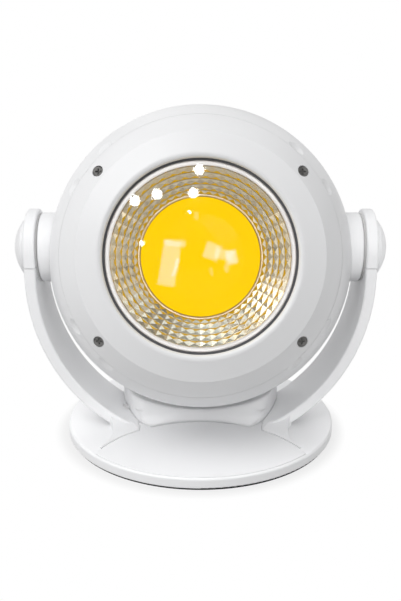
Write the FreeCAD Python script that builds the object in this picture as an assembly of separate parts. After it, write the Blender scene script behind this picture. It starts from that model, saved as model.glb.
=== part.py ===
import FreeCAD, Part
import math
import os

# Star projector: a ball lamp that tilts between the arms of a yoke on a round base.
# Sizes are in millimetres. Z is up, the lamp faces -Y, and X runs along the tilt axis.
# The origin is the middle of the foot, on the table.

# Base
base_radius = 60.0
base_roof = 1.85
base_wall = 2.8
base_edge_round = 1.0
base_foot_round = 0.5
pad_inset = 1.0
pad_thickness = 1.0
ballast_thickness = 2.6

# Crescent panel let into the front of the base
panel_arc_radius = 47.0
panel_back_edge = 9.4
panel_thickness = 1.2
panel_proud = 0.2
panel_margin = 1.2
panel_edge_round = 0.15
panel_tip_round = 0.6

# Ball and its rest position
ball_radius = 64.5
ball_wall = 2.4
pivot_drop = 4.3
rest_tilt = 15.0

# Yoke: a strap bent to a bow, with round ears at its ends
arm_gap = 4.5
arm_thickness = 4.8
arm_foot_half_width = 13.6
arm_edge_round = 0.8
bow_drop = 11.1
bow_sink = 6.2
ear_radius = 16.5
ear_split_drop = 5.2
ear_tongue_width = 5.0
ear_tongue_thickness = 2.0
ear_tongue_depth = 8.0
ear_tongue_offset = 8.5
ear_screw_head_height = 0.8
ear_screw_end_wall = 1.2

# Flared feet of the yoke, hollowed at their outer sides
flare_radius = 14.0
flare_lip = 0.5
flare_land = 0.2
flare_inset = 5.5
flare_overhang = 0.3
nook_radius = 20.6
nook_inset = 21.6
nook_front = 21.5

# Cradle under the ball
cradle_radius = 36.0
cradle_back = 14.0
cradle_corner_round = 9.0
cradle_skirt = 5.0
cradle_lip = 0.4
cradle_height = 19.6
cradle_room = 16.05
cradle_wall = 2.0
dish_gap = 4.2
plate_thickness = 2.0

# Pivots
drum_radius = 14.9
drum_gap = 0.45
drum_sink = 4.5
drum_edge_round = 1.2
drum_boss_wall = 2.4
bolt_radius = 3.0
bolt_head_radius = 5.5
bolt_head_height = 2.2
bolt_bore_radius = 1.5
bolt_end_length = 1.0
nut_width = 10.0
nut_height = 3.2
nut_sides = 6
bush_wall = 1.4
friction_washer_radius = 12.0
friction_washer_thickness = 0.6
spring_washer_radius = 6.0
spring_washer_thickness = 0.55
cover_radius = 11.5
cover_rim = 2.2
cover_dome = 3.9
cover_wall = 1.3

# Face of the ball
face_setback = 18.0
lip_width = 2.1
lip_round = 1.6
crease_inset = 16.1
seam_inset = 8.3
window_radius = 37.5
window_round = 1.6
well_inset = 12.8
well_angle = 39.8
well_radius = 2.28
well_wall = 1.3
well_depth = 2.6
dent_radius = 9.0
dent_depth = 0.9
dent_seam_offset = 2.4
dent_angles = (29.0, 48.5)

# Lens, reflector and emitter, from the front to the back
seal_front = 0.7
seal_show = 0.9
seal_wall = 0.5
seal_overlap = 0.9
lip_land = 2.0
lens_thickness = 2.4
flange_thickness = 0.9
reflector_mouth_radius = 34.7
reflector_throat_radius = 24.4
reflector_depth = 13.0
reflector_wall = 1.1
lens_ring_height = 2.4
dome_radius = 23.6
dome_edge = 1.5
dome_rise = 10.0
holder_wall = 1.8
holder_ledge = 1.0
holder_floor = 1.5
emitter_thickness = 0.8
led_board_margin = 1.2
led_board_thickness = 1.6
thermal_pad_thickness = 0.4

# Heat sink on the shelf inside the ball
sink_core_margin = 1.0
sink_core_height = 5.0
sink_flange_gap = 3.3
sink_flange_thickness = 3.0
fin_inset = 4.0
fin_length = 34.0
fin_thickness = 1.6
fin_pitch = 6.0
shelf_bore_inset = 6.0
shelf_thickness = 2.5
post_inset = 17.0
post_radius = 3.6
pillar_radius = 3.4

# Back of the ball
split_margin = 0.8
split_lip_height = 3.0
split_lip_wall = 1.2
vent_width = 2.4
vent_pitch = 6.0
vent_reach_radius = 24.0

# Screws
small_screw_radius = 1.2
small_head_radius = 2.1
small_head_height = 1.6
recess_reach = 1.25
recess_width = 0.6
recess_depth = 0.8
base_screw_radius = 1.5
base_screw_head_radius = 3.0
base_screw_head_height = 1.7
base_screw_bite = 5.0
rear_screw_bite = 10.0
rear_boss_floor = 3.2
base_screw_side = 21.0
base_screw_front = 6.0
base_screw_back = 34.0
base_post_radius = 3.2
sink_screw_inset = 3.0
led_screw_count = 3

# Driver, socket and button at the back of the cradle
board_width = 32.0
board_depth = 20.0
board_thickness = 1.6
board_lift = 1.6
board_back_gap = 4.6
board_post_radius = 2.4
board_post_inset = 3.0
coil_radius = 4.0
coil_height = 3.6
coil_side = 8.0
capacitor_radius = 2.5
capacitor_height = 4.4
socket_width = 8.9
socket_height = 3.2
socket_length = 7.4
socket_inset = 0.4
socket_mouth_depth = 5.0
socket_shell = 0.4
socket_tongue_thickness = 0.4
button_radius = 3.5
button_proud = 1.2
button_travel = 1.0
button_flange_width = 0.8
button_flange_thickness = 1.1
button_stem_radius = 1.5
button_stem_length = 2.2
button_edge_round = 0.6
switch_width = 6.0
switch_depth = 3.4
switch_board_width = 10.0
switch_board_thickness = 1.2

# Twin leads from the driver to the emitter
lead_width = 2.2
lead_thickness = 1.4
lead_tail = 8.0

# Clearances
fit_gap = 0.15
running_gap = 0.05
seam_gap = 0.2
button_gap = 0.1

# How far a cutting shape reaches past the face it opens
overrun = 1.0

# Places that follow from the sizes
V = FreeCAD.Vector
base_top = pad_thickness + ballast_thickness + base_roof
dish_radius = ball_radius + pivot_drop + dish_gap
cradle_rear = cradle_back + cradle_radius
socket_rear = cradle_rear - socket_inset
switch_board_rear = socket_rear - socket_length - fit_gap
switch_board_front = switch_board_rear - switch_board_thickness
pivot_z = base_top + cradle_room + math.sqrt((dish_radius + cradle_wall) ** 2 - switch_board_front ** 2)
arm_inner = ball_radius + arm_gap
arm_outer = arm_inner + arm_thickness
bow_z = pivot_z - bow_drop
bow_inner_height = bow_z - base_top + bow_sink
plate_top = base_top + plate_thickness
panel_centre_y = -(panel_back_edge + panel_arc_radius)
ear_split_z = pivot_z - ear_split_drop
far = 2 * (base_radius + ball_radius)


def disc(radius, low, high, x=0.0, y=0.0):
    """Upright cylinder between two heights."""
    return Part.makeCylinder(radius, high - low, V(x, y, low))


def ring(outer, inner, low, high, x=0.0, y=0.0):
    """Upright tube between two heights."""
    return disc(outer, low, high, x, y).cut(disc(inner, low, high, x, y))


def rod_x(radius, start, end, y=0.0, z=0.0):
    """Cylinder along X between two places."""
    return Part.makeCylinder(radius, end - start, V(start, y, z), V(1, 0, 0))


def rod_y(radius, start, end, x=0.0, z=0.0):
    """Cylinder along Y between two places."""
    return Part.makeCylinder(radius, end - start, V(x, start, z), V(0, 1, 0))


def block(x0, x1, y0, y1, z0, z1):
    """Box between two corners."""
    return Part.makeBox(x1 - x0, y1 - y0, z1 - z0, V(x0, y0, z0))


def turned(corners):
    """Solid turned about Z from (radius, height, rounding) corners."""
    points = [V(r, 0, z) for r, z, _ in corners]
    edges = []
    count = len(points)
    starts = []
    ends = []
    for i in range(count):
        before = (points[i - 1] - points[i]).normalize()
        after = (points[(i + 1) % count] - points[i]).normalize()
        half = before.getAngle(after) / 2.0
        rounding = corners[i][2]
        setback = rounding / math.tan(half)
        starts.append(points[i] + before * setback)
        ends.append(points[i] + after * setback)
        if rounding > 0:
            bisector = (before + after).normalize()
            middle = points[i] + bisector * (rounding / math.sin(half) - rounding)
            edges.append(Part.Arc(starts[i], middle, ends[i]).toShape())
    for i in range(count):
        edges.append(Part.makeLine(ends[i], starts[(i + 1) % count]))
    wire = Part.Wire(Part.__sortEdges__(edges))
    return Part.Face(wire).revolve(V(0, 0, 0), V(0, 0, 1), 360)


def polygon_turned(*corners):
    """Solid turned about Z from sharp (radius, height) corners."""
    return turned([(r, z, 0.0) for r, z in corners])


def mirrored_x(shape):
    """The same piece on the other side of the lamp."""
    return shape.mirror(V(0, 0, 0), V(1, 0, 0))


def along_x(shape):
    """A piece turned about Z laid along X, with its top towards +X."""
    return shape.rotated(V(0, 0, 0), V(0, 1, 0), 90)


def save(name, shape):
    """Write one piece to its own file."""
    shape.exportStep("parts/" + name + ".step")


def save_pair(name, right):
    """Write a right-hand piece and its left-hand twin."""
    save(name + "_right", right)
    save(name + "_left", mirrored_x(right))


def screw(shank_radius, head_radius, head_height, tip, seat, x, y):
    """Upright pan-head screw with a cross recess, its head on top of the seat."""
    shank = disc(shank_radius, tip, seat, x, y)
    head = disc(head_radius, seat, seat + head_height, x, y)
    top = seat + head_height
    half = recess_width / 2.0
    recess = block(x - recess_reach, x + recess_reach, y - half, y + half, top - recess_depth, top)
    cross = recess.fuse(recess.rotated(V(x, y, 0), V(0, 0, 1), 90))
    return shank.fuse(head).removeSplitter().cut(cross)


def upside_down(shape):
    """The same piece turned over about the level of the origin."""
    return shape.mirror(V(0, 0, 0), V(0, 0, 1))


def cross_points(side, front, back):
    """Four places, mirrored about the lamp's middle plane."""
    return [(x, y) for x in (-side, side) for y in (front, back)]


os.makedirs("parts", exist_ok=True)

# Foot pad, ballast and base shell

pad_radius = base_radius - pad_inset
ballast_radius = base_radius - base_wall - fit_gap
ballast_low = pad_thickness
ballast_top = pad_thickness + ballast_thickness
base_screw_points = cross_points(base_screw_side, base_screw_front, base_screw_back)
panel_low = base_top + panel_proud - panel_thickness


def panel_outline(offset, low, high):
    """Lens-shaped crescent between the base rim and the panel's rear arc."""
    rim = disc(base_radius - panel_margin + offset, low, high)
    return rim.common(disc(panel_arc_radius + offset, low, high, 0, panel_centre_y))


def base_holes(radius, low, high):
    """Drilling for the long screws through the base."""
    return Part.makeCompound([disc(radius, low, high, x, y) for x, y in base_screw_points])


foot_pad = turned([(0, 0, 0), (pad_radius, 0, 0), (pad_radius, pad_thickness, 0), (0, pad_thickness, 0)])

ballast_plate = disc(ballast_radius, ballast_low, ballast_top)
ballast_plate = ballast_plate.cut(base_holes(base_screw_radius + fit_gap, ballast_low, ballast_top))
head_pocket_top = ballast_low + base_screw_head_height + fit_gap
ballast_plate = ballast_plate.cut(base_holes(base_screw_head_radius + fit_gap, ballast_low, head_pocket_top))

base_shell = turned([
    (0, ballast_top, 0),
    (base_radius - base_wall, ballast_top, 0),
    (base_radius - base_wall, pad_thickness, 0),
    (base_radius, pad_thickness, base_foot_round),
    (base_radius, base_top, base_edge_round),
    (0, base_top, 0),
])
base_shell = base_shell.cut(base_holes(base_screw_radius + fit_gap, ballast_top, base_top))
base_shell = base_shell.cut(panel_outline(fit_gap, panel_low, base_top + panel_proud))

front_panel = panel_outline(0, panel_low, base_top + panel_proud)
panel_tips = [e for e in front_panel.Edges if e.BoundBox.ZLength > panel_thickness / 2]
front_panel = front_panel.makeFillet(panel_tip_round, panel_tips)
panel_top_edges = [e for e in front_panel.Edges if e.BoundBox.ZMin > panel_low + panel_thickness / 2]
front_panel = front_panel.makeFillet(panel_edge_round, panel_top_edges)

save("foot_pad", foot_pad)
save("ballast_plate", ballast_plate)
save("base_shell", base_shell)
save("front_panel", front_panel)

# Yoke strap

lead_centre = arm_inner + arm_thickness / 2.0
lead_turn_z = pivot_z - bolt_head_radius - lead_thickness - fit_gap
lead_run_z = plate_top + lead_thickness


def bow_face(offset, top):
    """Face inside the bow of the strap, grown outwards by an offset."""
    half_width = arm_inner + offset
    height = bow_inner_height + offset
    centre = V(0, 0, bow_z)
    ellipse = Part.Ellipse(V(0, 0, bow_z - height), V(half_width, 0, bow_z), centre)
    bow = Part.ArcOfEllipse(ellipse, -math.pi / 2, math.pi / 2).toShape()
    left = [V(-half_width, 0, bow_z), V(-half_width, 0, top)]
    right = [V(half_width, 0, top), V(half_width, 0, bow_z)]
    corners = left + right
    sides = [Part.makeLine(a, b) for a, b in zip(corners, corners[1:])]
    return Part.Face(Part.Wire(Part.__sortEdges__([bow] + sides)))


def bow_solid(offset, top, half_width):
    """The bow's inside as a solid, centred on the tilt axis."""
    solid = bow_face(offset, top).extrude(V(0, 2 * half_width, 0))
    return solid.translated(V(0, -half_width, 0))


def strap_side_face(growth):
    """Side view of an arm: a round ear on sides that draw in towards the base."""
    radius = ear_radius + growth
    half_width = arm_foot_half_width + growth
    low = base_top - bow_sink - arm_thickness - overrun
    corner = V(0, half_width, low)
    centre = V(0, 0, pivot_z)
    reach = corner.distanceToPoint(centre)
    swing = math.asin(radius / reach) - math.atan2(half_width, pivot_z - low)
    tangent = V(0, radius * math.cos(swing), pivot_z + radius * math.sin(swing))
    other = V(0, -tangent.y, tangent.z)
    ear = Part.Arc(tangent, V(0, 0, pivot_z + radius), other).toShape()
    base = V(0, -half_width, low)
    edges = [ear, Part.makeLine(other, base), Part.makeLine(base, corner), Part.makeLine(corner, tangent)]
    return Part.Face(Part.Wire(Part.__sortEdges__(edges)))


strap_top = pivot_z + 2 * ear_radius
strap_block = bow_solid(arm_thickness, strap_top, 2 * ear_radius)
strap_block = strap_block.cut(bow_solid(0, strap_top, 2 * ear_radius))
side_slab = strap_side_face(0).extrude(V(2 * far, 0, 0)).translated(V(-far, 0, 0))
strap = strap_block.common(side_slab)
strap_edges = [e for e in strap.Edges if abs(e.CenterOfMass.y) > arm_foot_half_width / 2.0 or
               e.CenterOfMass.z > pivot_z]
strap = strap.makeFillet(arm_edge_round, strap_edges)

above_split = block(-far, far, -far, far, ear_split_z, far)
below_split = block(-far, far, -far, far, base_top, ear_split_z - seam_gap)
right_half = block(0, far, -far, far, -far, far)
arms = strap.common(below_split)
ear_cap = strap.common(above_split).common(right_half)


def tongues(growth):
    """Two tongues of a right ear cap that plug into the arm below it."""
    middle = arm_inner + arm_thickness / 2.0
    half = ear_tongue_thickness / 2.0 + growth
    pieces = []
    for side in (-1, 1):
        y = side * ear_tongue_offset
        wide = ear_tongue_width / 2.0 + growth
        low = ear_split_z - ear_tongue_depth - growth
        pieces.append(block(middle - half, middle + half, y - wide, y + wide, low, ear_split_z))
    return Part.makeCompound(pieces)


ear_screw_z = ear_split_z - ear_tongue_depth / 2.0


def ear_drilling(radius, head_radius):
    """Screws that pin the right tongues, from the inner face of the arm."""
    pieces = []
    for side in (-1, 1):
        y = side * ear_tongue_offset
        end = arm_outer - ear_screw_end_wall + (radius - small_screw_radius)
        shank = rod_x(radius, arm_inner + ear_screw_head_height, end, y, ear_screw_z)
        head = rod_x(head_radius, arm_inner, arm_inner + ear_screw_head_height, y, ear_screw_z)
        pieces.append(shank.fuse(head).removeSplitter())
    return Part.makeCompound(pieces)


def lead_strip(growth):
    """Flat lead down the left arm, from under the pivot cover to the cradle."""
    half_width = lead_width / 2.0 + growth
    half = lead_thickness / 2.0 + growth
    inner = arm_thickness / 2.0 - half
    outer = arm_thickness / 2.0 + half
    strip = bow_solid(outer, lead_turn_z + half, half_width).cut(bow_solid(inner, far, half_width))
    keep = block(-far, 0, -half_width, half_width, lead_run_z - half, lead_turn_z + half)
    strip = strip.common(keep)
    exit_end = arm_outer + cover_rim
    out = block(-exit_end, -lead_centre, -half_width, half_width, lead_turn_z - half, lead_turn_z + half)
    foot_rise = (bow_z - lead_run_z) / (bow_inner_height + arm_thickness / 2.0)
    foot_x = lead_centre * math.sqrt(1 - foot_rise ** 2)
    tail_end = base_screw_side - base_post_radius - lead_tail
    tail = block(-foot_x, -tail_end, -half_width, half_width, lead_run_z - half, lead_run_z + half)
    return strip.multiFuse([out, tail]).removeSplitter()


ear_bore = bolt_radius + running_gap + bush_wall + running_gap
ear_cap_hole = rod_x(ear_bore, arm_inner - overrun, arm_outer + overrun, 0, pivot_z)
ear_cap = ear_cap.fuse(tongues(0)).removeSplitter().cut(ear_cap_hole)
ear_bores = ear_drilling(small_screw_radius + running_gap, small_head_radius + running_gap)
ear_cap = ear_cap.cut(ear_bores)
ear_cap_right = ear_cap
ear_cap_left = mirrored_x(ear_cap).cut(lead_strip(fit_gap))
ear_screws_right = ear_drilling(small_screw_radius, small_head_radius)
ear_screws = Part.makeCompound(ear_screws_right.Solids + mirrored_x(ear_screws_right).Solids)

# Foot of the yoke: a plate inside the cradle and flared feet in front of the arms


def cradle_outline(inset, low, high):
    """Outline of the cradle: round, with a flat front and rounded front corners."""
    radius = cradle_radius - inset
    front = inset - panel_back_edge
    body = disc(radius, low, high).rotated(V(0, 0, 0), V(0, 0, 1), 90).translated(V(0, cradle_back, 0))
    body = body.common(block(-far, far, front, far, low, high))
    corners = [e for e in body.Edges if e.BoundBox.ZLength > (high - low) / 2.0 and e.CenterOfMass.y < 0]
    return body.makeFillet(cradle_corner_round - inset, corners)


def ramp(wall, back, radius, lip):
    """Wall across the base that runs out to the front in a hollow curve."""
    low = base_top
    foot = low + lip
    top = foot + radius
    centre = V(0, wall - radius, top)
    middle = centre + V(0, radius, -radius) / math.sqrt(2)
    curve = Part.Arc(V(0, wall, top), middle, V(0, wall - radius, foot)).toShape()
    corners = [V(0, wall - radius, foot), V(0, -far, foot), V(0, -far, low), V(0, back, low), V(0, back, top),
               V(0, wall, top)]
    sides = [Part.makeLine(a, b) for a, b in zip(corners, corners[1:])]
    face = Part.Face(Part.Wire(Part.__sortEdges__([curve] + sides)))
    return face.extrude(V(2 * far, 0, 0)).translated(V(-far, 0, 0))


def flared_foot():
    """Right foot: it rises in a hollow curve from the panel's rear arc to the front of the arm."""
    low = base_top
    foot_z = low + flare_lip
    high = foot_z + flare_radius + flare_land
    edge = panel_arc_radius + seam_gap
    crest = edge + flare_radius + flare_land
    body = turned([
        (edge, low, 0),
        (far, low, 0),
        (far, high, 0),
        (crest, high, 0),
        (crest, foot_z, flare_radius),
        (edge, foot_z, 0),
    ])
    body = body.translated(V(0, panel_centre_y, 0))
    body = body.common(block(0, far, -far, 2 * arm_edge_round - arm_foot_half_width, low, high))
    body = body.common(disc(base_radius - flare_inset, low, high))
    body = body.cut(disc(nook_radius, low, high, base_radius - nook_inset + nook_radius, -nook_front))
    return body.cut(bow_solid(-flare_overhang, strap_top, far))


foot_plate = cradle_outline(cradle_wall + fit_gap, base_top, plate_top)
foot = flared_foot()
yoke = arms.multiFuse([foot_plate, foot, mirrored_x(foot)]).removeSplitter()

# Driver board and its neighbours stand on the foot plate

board_rear = cradle_rear - cradle_wall - board_back_gap
board_low = plate_top + board_lift
board_top = board_low + board_thickness
board_front = board_rear - board_depth
post_x = board_width / 2.0 - board_post_inset
board_points = cross_points(post_x, board_front + board_post_inset, board_rear - board_post_inset)
board_screw_tip = base_top

board_posts = [disc(board_post_radius, plate_top, board_low, x, y) for x, y in board_points]
yoke = yoke.multiFuse(board_posts).removeSplitter()
screw_bore = small_screw_radius + running_gap
board_bores = Part.makeCompound([disc(screw_bore, board_screw_tip, board_top, x, y) for x, y in board_points])
yoke = yoke.cut(board_bores)
yoke = yoke.cut(base_holes(base_screw_radius + fit_gap, base_top, plate_top))
for pocket in (tongues(fit_gap), ear_bores):
    yoke = yoke.cut(pocket).cut(mirrored_x(pocket))
yoke = yoke.cut(lead_strip(fit_gap))

save("yoke", yoke)
save("ear_cap_right", ear_cap_right)
save("ear_cap_left", ear_cap_left)
save("ear_screws", ear_screws)
save("arm_lead", lead_strip(0))

# Cradle housing with a dished top

cradle_top = base_top + cradle_height
pivot_point = V(0, 0, pivot_z)
skirt = ramp(-panel_back_edge, cradle_corner_round - panel_back_edge, cradle_skirt, cradle_lip)
skirt = skirt.common(disc(cradle_radius, base_top, cradle_top, 0, cradle_back))
cradle = cradle_outline(0, base_top, cradle_top).fuse(skirt).removeSplitter()
cradle = cradle.cut(disc(panel_arc_radius + seam_gap, base_top, cradle_top, 0, panel_centre_y))
cradle = cradle.cut(Part.makeSphere(dish_radius, pivot_point))
hollow = cradle_outline(cradle_wall, base_top, cradle_top - cradle_wall)
hollow = hollow.cut(Part.makeSphere(dish_radius + cradle_wall, pivot_point))
screw_posts = [disc(base_post_radius, plate_top, cradle_top, x, y) for x, y in base_screw_points]
screw_posts = Part.makeCompound(screw_posts).common(cradle)
cradle = cradle.cut(hollow).fuse(screw_posts.Solids).removeSplitter()
arm_space = bow_solid(arm_thickness + fit_gap, strap_top, far).cut(bow_solid(-fit_gap, strap_top, far))
arm_space = arm_space.common(strap_side_face(fit_gap).extrude(V(2 * far, 0, 0)).translated(V(-far, 0, 0)))
cradle = cradle.cut(arm_space)
screw_top = plate_top + base_screw_bite
cradle = cradle.cut(base_holes(base_screw_radius + running_gap, plate_top, screw_top))
cradle = cradle.cut(lead_strip(fit_gap))

socket_half = socket_width / 2.0
socket_z = board_top + socket_height / 2.0
button_z = (board_top + socket_height + cradle_top - cradle_wall) / 2.0
socket_round = socket_height / 2.0


def socket_body(growth, start, end):
    """Flat-sided round-ended bar along Y, the shape of the power socket."""
    radius = socket_round + growth
    spread = socket_half - socket_round
    left = rod_y(radius, start, end, -spread, socket_z)
    right = rod_y(radius, start, end, spread, socket_z)
    middle = block(-spread, spread, start, end, socket_z - radius, socket_z + radius)
    return left.multiFuse([right, middle]).removeSplitter()


cradle = cradle.cut(socket_body(fit_gap, cradle_back, cradle_rear + overrun))
cradle = cradle.cut(rod_y(button_radius + button_gap, cradle_back, cradle_rear + overrun, 0, button_z))

power_socket = socket_body(0, socket_rear - socket_length, socket_rear)
power_socket = power_socket.cut(socket_body(-socket_shell, socket_rear - socket_mouth_depth, socket_rear))
tongue_half = socket_half - socket_round
tongue_thick = socket_tongue_thickness / 2.0
socket_tongue = block(-tongue_half, tongue_half, socket_rear - socket_mouth_depth - tongue_thick,
                      socket_rear - socket_shell, socket_z - tongue_thick, socket_z + tongue_thick)
power_socket = power_socket.fuse(socket_tongue).removeSplitter()

half_board = board_width / 2.0
driver_board = block(-half_board, half_board, board_front, board_rear, board_low, board_top)
driver_board = driver_board.cut(board_bores)

board_screws = Part.makeCompound([
    screw(small_screw_radius, small_head_radius, small_head_height, board_screw_tip, board_top, x, y)
    for x, y in board_points
])
parts_y = board_front + capacitor_radius + small_head_radius + fit_gap
coil_y = parts_y + coil_radius
board_parts = Part.makeCompound([
    disc(coil_radius, board_top, board_top + coil_height, coil_side, coil_y),
    disc(capacitor_radius, board_top, board_top + capacitor_height, -coil_side, coil_y),
])

switch_board_half = switch_board_width / 2.0
switch_low = button_z - switch_width / 2.0
switch_high = button_z + switch_width / 2.0
switch_board = block(-switch_board_half, switch_board_half, switch_board_front, switch_board_rear,
                     board_top, switch_high)
switch_rear = switch_board_rear + switch_depth
flange_rear = cradle_back + math.sqrt((cradle_radius - cradle_wall) ** 2 -
                                      (button_radius + button_flange_width) ** 2) - button_gap
flange_front = flange_rear - button_flange_thickness
stem_front = flange_front - button_stem_length
half_switch = switch_width / 2.0
tact_switch = block(-half_switch, half_switch, switch_board_rear, switch_rear, switch_low, switch_high)
stem_bore_front = stem_front - button_travel - button_gap
stem_bore = rod_y(button_stem_radius + button_gap, stem_bore_front, switch_rear, 0, button_z)
tact_switch = tact_switch.cut(stem_bore)

power_button = rod_y(button_radius, flange_rear, cradle_rear + button_proud, 0, button_z)
crown_edges = [e for e in power_button.Edges if e.BoundBox.YMin > cradle_rear]
power_button = power_button.makeFillet(button_edge_round, crown_edges)
button_flange = rod_y(button_radius + button_flange_width, flange_front, flange_rear, 0, button_z)
button_stem = rod_y(button_stem_radius, stem_front, flange_front, 0, button_z)
power_button = power_button.multiFuse([button_flange, button_stem]).removeSplitter()

base_screws = Part.makeCompound([
    upside_down(screw(base_screw_radius, base_screw_head_radius, base_screw_head_height,
                      -screw_top, -head_pocket_top, x, y))
    for x, y in base_screw_points
])

save("cradle_housing", cradle)
save("power_socket", power_socket)
save("driver_board", driver_board)
save("board_screws", board_screws)
save("board_parts", board_parts)
save("switch_board", switch_board)
save("tact_switch", tact_switch)
save("power_button", power_button)
save("base_screws", base_screws)

# Pivot pieces that stay with the yoke

bush_bore = bolt_radius + running_gap


def at_pivot(shape):
    """Lay a piece turned about Z along the tilt axis."""
    return along_x(shape).translated(pivot_point)


pivot_bush = at_pivot(ring(bush_bore + bush_wall, bush_bore, arm_inner, arm_outer))
washer_outer_end = arm_inner - running_gap
washer_inner_end = washer_outer_end - friction_washer_thickness
washer_bore = bush_bore + fit_gap
friction_washer = ring(friction_washer_radius, washer_bore, washer_inner_end, washer_outer_end)
spring_washer = ring(spring_washer_radius, washer_bore, arm_outer, arm_outer + spring_washer_thickness)
dome_sphere = (cover_radius ** 2 + cover_dome ** 2) / (2 * cover_dome)
cover_rim_end = arm_outer + cover_rim
dome_centre = V(0, 0, cover_rim_end + cover_dome - dome_sphere)
cover = disc(cover_radius, arm_outer, cover_rim_end + cover_dome)
cover = cover.common(Part.makeSphere(dome_sphere, dome_centre))
cover_hollow = disc(cover_radius - cover_wall, arm_outer, cover_rim_end + cover_dome)
cover_hollow = cover_hollow.common(Part.makeSphere(dome_sphere - cover_wall, dome_centre))
pivot_cover = at_pivot(cover.cut(cover_hollow))

save_pair("pivot_bush", pivot_bush)
save_pair("friction_washer", at_pivot(friction_washer))
save_pair("spring_washer", at_pivot(spring_washer))
save_pair("pivot_cover", pivot_cover)

# The head is modelled about its own axis: Z runs out through the lens, Y up the ball,
# and the tilt axis crosses above the ball's centre.


def place_head(shape):
    """Set a head piece at its rest tilt between the arms."""
    lowered = shape.translated(V(0, -pivot_drop, 0))
    return lowered.rotated(V(0, 0, 0), V(1, 0, 0), 90 - rest_tilt).translated(pivot_point)


def save_head(name, shape):
    """Write a head piece in its rest place."""
    save(name, place_head(shape))


def save_head_pair(name, right):
    """Write a right-hand head piece and its left-hand twin."""
    save_head(name + "_right", right)
    save_head(name + "_left", mirrored_x(right))


def sphere_height(radius, reach):
    """Distance of a circle of a sphere from its centre plane."""
    return math.sqrt(radius ** 2 - reach ** 2)


ball_inner = ball_radius - ball_wall
face_depth = ball_radius - face_setback
lip_radius = window_radius + lip_width
crease_radius = ball_radius - crease_inset
seam_radius = ball_radius - seam_inset
seam_z = sphere_height(ball_radius, seam_radius)
crease_z = sphere_height(ball_radius, crease_radius)
face_slope = (face_depth - crease_z) / (crease_radius - lip_radius)
well_reach = ball_radius - well_inset
well_side = well_reach * math.cos(math.radians(well_angle))
well_rise = well_reach * math.sin(math.radians(well_angle))
well_points = cross_points(well_side, -well_rise, well_rise)
sink_flange_radius = well_reach - pillar_radius - sink_flange_gap
sink_screw_circle = sink_flange_radius - sink_screw_inset
shelf_bore_radius = sink_flange_radius - shelf_bore_inset
fin_reach_radius = shelf_bore_radius - fin_inset
drum_seat = ball_radius - drum_sink
post_side = (ball_inner - post_inset) / math.sqrt(2)
well_mouth = sphere_height(ball_radius, well_reach)
well_floor = well_mouth - well_depth - small_head_height

seal_back = face_depth - lip_land
seal_radius = window_radius + seal_overlap
bezel_bore = seal_radius + running_gap
lens_front = seal_back - seal_front - running_gap
lens_back = lens_front - lens_thickness
lens_radius = seal_radius - seal_wall - running_gap
flange_front_z = lens_back - running_gap
flange_back_z = flange_front_z - flange_thickness
ring_back = flange_back_z - lens_ring_height
throat_z = flange_front_z - reflector_depth
holder_radius = dome_radius + running_gap + holder_wall
led_screw_circle = holder_radius + small_head_radius + fit_gap
led_board_radius = led_screw_circle + small_screw_radius + led_board_margin
sink_core_radius = led_board_radius + sink_core_margin
holder_low = throat_z - dome_edge - holder_floor - emitter_thickness
led_board_top = holder_low
led_board_low = led_board_top - led_board_thickness
sink_top = led_board_low - thermal_pad_thickness
sink_low = sink_top - sink_core_height
shelf_top = sink_low
shelf_low = shelf_top - shelf_thickness
split_z = -(drum_radius + drum_gap + drum_boss_wall + split_margin)
pillar_top = seam_z - seam_gap


def face_half(offset, low):
    """Everything behind the face cone, drawn in by a wall."""
    slope_length = math.hypot(1.0, face_slope)
    drop = offset * slope_length
    wide = 2 * ball_radius
    lip_z = face_depth - offset
    lip_r = lip_radius - (drop - offset) / face_slope
    wide_z = lip_z - face_slope * (wide - lip_r)
    below = min(wide_z, low) - overrun
    corners = [(0, below, 0), (wide, below, 0), (wide, wide_z, 0), (lip_r, lip_z, lip_round), (0, lip_z, 0)]
    return turned(corners)


# Front bezel

bezel = Part.makeSphere(ball_radius).common(face_half(0, seam_z))
bezel = bezel.common(disc(ball_radius, seam_z, ball_radius))
cavity = Part.makeSphere(ball_inner).common(face_half(ball_wall, seam_z))
cavity = cavity.cut(disc(bezel_bore + ball_wall, -ball_radius, ball_radius))
bezel = bezel.cut(cavity)
bezel = bezel.cut(disc(bezel_bore, -ball_radius, seal_back))
bezel = bezel.cut(disc(window_radius, -ball_radius, ball_radius))
front_edges = [e for e in bezel.Edges if e.BoundBox.ZMin > face_depth - running_gap]
bezel = bezel.makeFillet(window_round, [e for e in front_edges if e.BoundBox.XMax < window_radius + running_gap])
bezel_skirt = ring(bezel_bore + ball_wall, bezel_bore, ring_back, seal_back)
bosses = [disc(well_radius + well_wall, seam_z, well_mouth, x, y) for x, y in well_points]
boss_limit = Part.makeSphere(ball_radius - ball_wall / 2.0).common(face_half(ball_wall / 2.0, seam_z))
bosses = [b.common(boss_limit) for b in bosses]
bezel = bezel.multiFuse([bezel_skirt] + bosses).removeSplitter()
wells = Part.makeCompound([disc(well_radius, well_floor, ball_radius, x, y) for x, y in well_points])
bores = Part.makeCompound([disc(screw_bore, seam_z, well_floor, x, y) for x, y in well_points])
front_bezel = bezel.cut(wells).cut(bores)

bezel_screws = Part.makeCompound([
    screw(small_screw_radius, small_head_radius, small_head_height, shelf_top, well_floor, x, y)
    for x, y in well_points
])

# Body shell with a shelf, screw pillars and pockets for the pivot drums

boss_radius = drum_radius + drum_gap + drum_boss_wall
post_points = cross_points(post_side, -post_side, post_side)
drum_back = drum_seat - drum_boss_wall


def both_sides(right):
    """A right-hand shape together with its left-hand twin."""
    return right.fuse(mirrored_x(right))


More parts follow.
